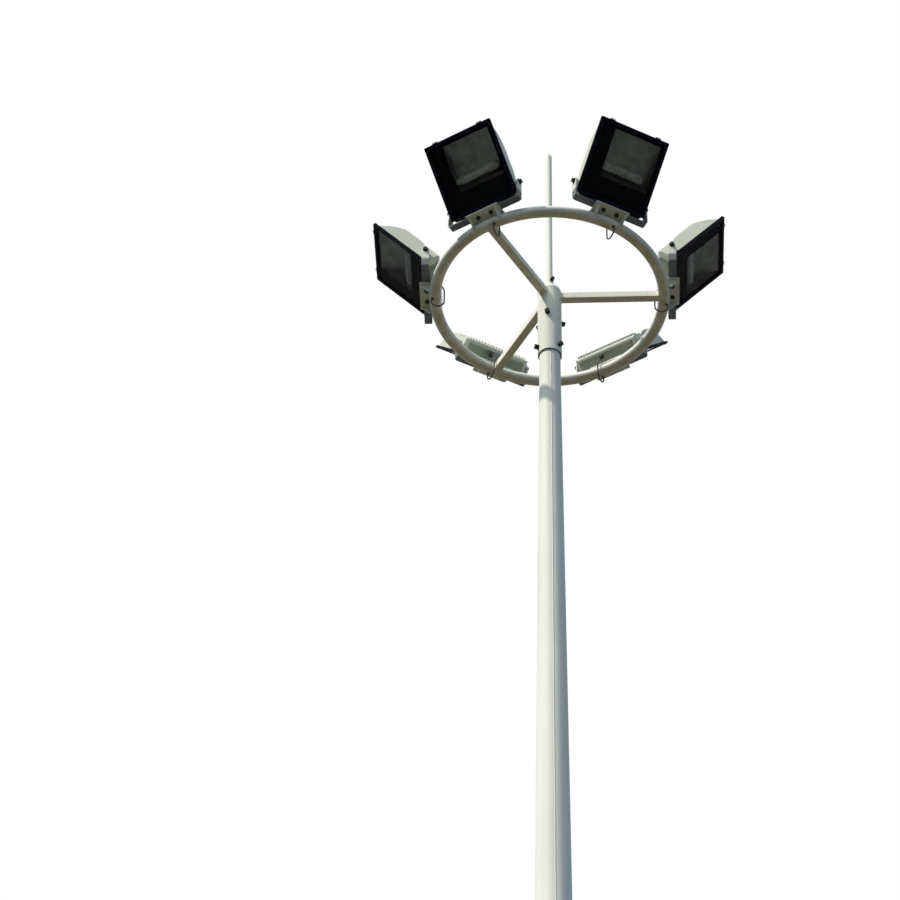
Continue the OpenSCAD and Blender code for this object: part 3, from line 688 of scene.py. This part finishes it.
rounded(cover, 0.0012)
outwards = Matrix.Translation((END_S - COVER_T, 0, 0)) @ Matrix.Rotation(-pi / 2, 4, "Y")
end_screw = turned("end_screw_model", [(0.0062, -0.001), (0.0062, 0.0008), (0.0048, 0.0009), (0.0048, 0.0034),
                                       (0.0040, 0.0042), (0.0022, 0.0042), (0.0020, 0.0024)])
corners = [Matrix.Translation((0, t, d)) @ outwards
           for t in (-END_SCREW_T, END_SCREW_T) for d in END_SCREW_D]
cover = joined("end_cover_model", [cover, pattern_of("end_screws_model", end_screw, *corners)])
for i, piece in one_a_lamp("end_cover", cover).items():
    settle(piece, shaded_cover_grey, f"lamp_{i}")

# Cable glands: black nylon, a six-sided nut on the housing's boss and a soft tapered
# sleeve in it that takes the strain off the lead and bends with it.
gland_nylon, tree, s = shader("gland_nylon", (0.02, 0.02, 0.021), 0.5, level=0.3)
mottled(tree, s, (0.017, 0.017, 0.018), (0.05, 0.05, 0.048), noise(tree, 110, 4), 0.5, 0.8, 0.6)
relief(tree, s, noise(tree, 500, 2), 0.2, 0.0004)
nut = turned("gland_nut_model", [(0.0146, 0.0062), (0.0164, 0.0076), (0.0164, 0.0106), (0.0146, 0.0120)], 6)
sleeve = turned("gland_sleeve_model", [(0.0122, 0.0112), (0.0122, 0.0146), (0.0108, 0.0154), (0.0108, 0.0166),
                                       (0.0114, 0.0174), (0.0098, 0.0200), (0.0098, 0.0206), (0.0104, 0.0213),
                                       (0.0080, 0.0240), (0.0060, 0.0252), (0.0043, 0.0256)])
seat = Matrix.Translation((END_S, GLAND_T, PIVOT_D)) @ Matrix.Rotation(-pi / 2, 4, "Y")
nut.data.transform(seat)
sleeve.data.transform(seat)
for i, piece in one_a_lamp("cable_gland", nut).items():
    settle(piece, gland_nylon, f"lamp_{i}")
for i, piece in one_a_lamp("gland_sleeve", sleeve).items():
    piece.data.materials.append(gland_nylon)
    flexes(piece)

# Front frames: pressed steel in satin black, with pan-headed screws along both
# sides and two spring clips of plated strip at the outer edge.
# The satin black has a faint blue tint in it, a painted reflection of the sky.
frame_black, tree, s = shader("frame_black", (0.005, 0.0065, 0.0115), 0.6, level=0.02)
smear = noise(tree, 14, 5)
mottled(tree, s, (0.0036, 0.0052, 0.0105), (0.0085, 0.0104, 0.0165), smear, 0.45, 0.8)
uneven(tree, s, smear, 0.55, 0.72)
relief(tree, s, noise(tree, 500, 2), 0.1, 0.0004, 0.0015)
dress(frame_black, *(f"lamp_frame_{i}" for i in LAMPS))

RIM_SCREW_S = (0.030, 0.148, 0.267, 0.385)
RIM_SCREW_T = 0.19
pan = turned("frame_screw_model", [(0.0052, -0.001), (0.0052, 0.0012), (0.0045, 0.0022), (0.0028, 0.0027),
                                   (0.0016, 0.0027), (0.0014, 0.0012)], 16)
rim_places = [Matrix.Translation((x, t, 0)) @ Matrix.Rotation(pi, 4, "X")
              for x in RIM_SCREW_S for t in (-RIM_SCREW_T, RIM_SCREW_T)]
for i, piece in one_a_lamp("frame_screws", pattern_of("frame_screws_model", pan, *rim_places)).items():
    settle(piece, dark_bolts, f"lamp_{i}")

CLIP_T, CLIP_W, CLIP_SHEET = 0.134, 0.018, 0.0012
CLIP_LINE = ((0.4178, 0.0014), (0.4234, 0.0014), (0.4240, 0.0080), (0.4234, 0.0152), (0.4080, 0.0154),
             (0.3926, 0.0158), (0.3782, 0.0312), (0.3620, 0.0484), (0.3610, 0.0520))
RIVET_S, RIVET_D, RIVET_TURN = 0.3702, 0.0396, radians(47)
hook_x, hook_d = CLIP_LINE[0]
bend_x = CLIP_LINE[1][0]
bpy.ops.object.select_all(action="DESELECT")
bpy.ops.mesh.primitive_plane_add(size=1, location=((hook_x + bend_x) / 2, 0, hook_d))
clip = bpy.context.active_object
clip.name = clip.data.name = "clip_model"
bpy.ops.transform.resize(value=(bend_x - hook_x, CLIP_W, 1))
bpy.ops.object.transform_apply(location=True, rotation=True, scale=True)
bpy.ops.object.mode_set(mode="EDIT")
pick_edges(clip, lambda a, b: min(a.x, b.x) > bend_x - 1e-6)
for (x0, d0), (x1, d1) in zip(CLIP_LINE[1:], CLIP_LINE[2:]):
    bpy.ops.mesh.extrude_region_move(TRANSFORM_OT_translate={"value": (x1 - x0, 0, d1 - d0)})
bpy.ops.object.mode_set(mode="OBJECT")
thick = clip.modifiers.new("sheet", "SOLIDIFY")
thick.thickness = CLIP_SHEET
thick.offset = 0
bpy.ops.object.modifier_apply(modifier=thick.name)
rounded(clip, 0.0004, 1)
rivet = turned("rivet_model", [(0.0050, -0.001), (0.0050, 0.0006), (0.0042, 0.0022), (0.0024, 0.0031),
                               (0.0008, 0.0033)], 16)
rivet.data.transform(Matrix.Translation((RIVET_S, 0, RIVET_D)) @ Matrix.Rotation(RIVET_TURN, 4, "Y"))
clip = joined("clip_model", [clip, rivet])
clip_pair = pattern_of("clips_model", clip, *(Matrix.Translation((0, t, 0)) for t in (-CLIP_T, CLIP_T)))

clip_zinc, tree, s = shader("clip_zinc", (0.42, 0.42, 0.38), 0.4, 0.7, 0.4)
dull = noise(tree, 80, 4)
mottled(tree, s, (0.44, 0.44, 0.41), (0.24, 0.23, 0.20), dull, 0.4, 0.75, 0.9)
uneven(tree, s, dull, 0.3, 0.55)
relief(tree, s, noise(tree, 600, 2), 0.15, 0.0003)
for i, piece in one_a_lamp("frame_clips", clip_pair).items():
    settle(piece, clip_zinc, f"lamp_{i}")

# Front glass: a flat toughened pane, dusty from outdoors and tinted a dark grey
# as painted shade for the dim inside, held in the frame's rim against the housing.
front_glass, tree, s = shader("front_glass", (0.36, 0.369, 0.352), 0.03)
s.inputs["Transmission Weight"].default_value = 1.0
s.inputs["IOR"].default_value = 1.045
uneven(tree, s, noise(tree, 9, 4), 0.02, 0.12, 0.4, 0.8)
dress(front_glass, *(f"lamp_glass_{i}" for i in LAMPS))

# Reflectors: a trough of hammered aluminium sheet, gone dull with heat, its colour
# darkened as painted shade for the dim inside; it stands in the housing behind the window.
reflector, tree, s = shader("reflector", (0.30, 0.30, 0.28), 0.5, 1.0)
dents = add(tree, "ShaderNodeTexVoronoi", Scale=140.0, feature="SMOOTH_F1")
tree.links.new(place(tree), dents.inputs["Vector"])
mottled(tree, s, (0.29, 0.295, 0.28), (0.19, 0.19, 0.175), noise(tree, 18, 4), 0.4, 0.75)
uneven(tree, s, noise(tree, 30, 3), 0.42, 0.60)
relief(tree, s, dents.outputs["Distance"], 0.25, 0.002)
dress(reflector, *(f"lamp_reflector_{i}" for i in LAMPS))

# Bulbs: a frosted outer tube of glass on a porcelain cap, which is held
# in the reflector's side.
bulb_glass, tree, s = shader("bulb_glass", (0.46, 0.47, 0.45), 0.35, level=0.3)
mottled(tree, s, (0.42, 0.44, 0.42), (0.31, 0.32, 0.30), noise(tree, 40, 3), 0.4, 0.7)
relief(tree, s, noise(tree, 300, 2), 0.1, 0.0004)
dress(bulb_glass, *(f"lamp_bulb_{i}" for i in LAMPS))


# Stage: a wide pale floor, open sky light, a sun from the front left
# and the broad glow of the haze beside it.
def seen(tree):
    """One for rays from the camera, or that come off gloss or through glass."""
    path = add(tree, "ShaderNodeLightPath")
    out = path.outputs["Is Camera Ray"]
    for ray in ("Is Glossy Ray", "Is Transmission Ray"):
        both = add(tree, "ShaderNodeMath", operation="MAXIMUM")
        tree.links.new(out, both.inputs[0])
        tree.links.new(path.outputs[ray], both.inputs[1])
        out = both.outputs[0]
    return out


def split(tree, lit, shown, end):
    """Shows one shader to the eye and lights with the other."""
    mix = add(tree, "ShaderNodeMixShader")
    tree.links.new(seen(tree), mix.inputs[0])
    tree.links.new(lit.outputs[0], mix.inputs[1])
    tree.links.new(shown.outputs[0], mix.inputs[2])
    tree.links.new(mix.outputs[0], end.inputs["Surface"])


FLOOR_W = 400
bpy.ops.object.select_all(action="DESELECT")
bpy.ops.mesh.primitive_plane_add(size=FLOOR_W)
floor = bpy.context.active_object
floor.name = "floor"
floor.select_set(False)
ground, tree, s = shader("floor_pale", (0.86, 0.86, 0.85), 0.9, level=0.1)
bounce = add(tree, "ShaderNodeBsdfDiffuse", Color=(0.098, 0.089, 0.058, 1))
split(tree, bounce, s, tree.nodes["Material Output"])
floor.data.materials.append(ground)

for name, energy, width, colour, az, el in (("sun", 3.6, 1.2, (1.0, 0.955, 0.84), 212, 54),
                                            ("haze", 1.3, 40, (1.0, 0.965, 0.87), 236, 52)):
    light = bpy.data.lights.new(name, "SUN")
    light.energy = energy
    light.angle = radians(width)
    light.color = colour
    lamp = bpy.data.objects.new(name, light)
    towards = Matrix.Rotation(radians(az), 3, "Z") @ Vector((cos(radians(el)), 0, sin(radians(el))))
    lamp.rotation_euler = towards.to_track_quat("Z", "Y").to_euler()
    bpy.context.scene.collection.objects.link(lamp)

world = bpy.data.worlds.new("open_sky")
bpy.context.scene.world = world
world.use_nodes = True
tree = world.node_tree
sky = tree.nodes["Background"]
sky.inputs["Color"].default_value = (0.36, 0.63, 1.0, 1)
sky.inputs["Strength"].default_value = 0.5
white = add(tree, "ShaderNodeBackground", Color=(1, 1, 1, 1), Strength=1.0)
split(tree, sky, white, tree.nodes["World Output"])

bpy.context.scene.view_settings.view_transform = "Standard"
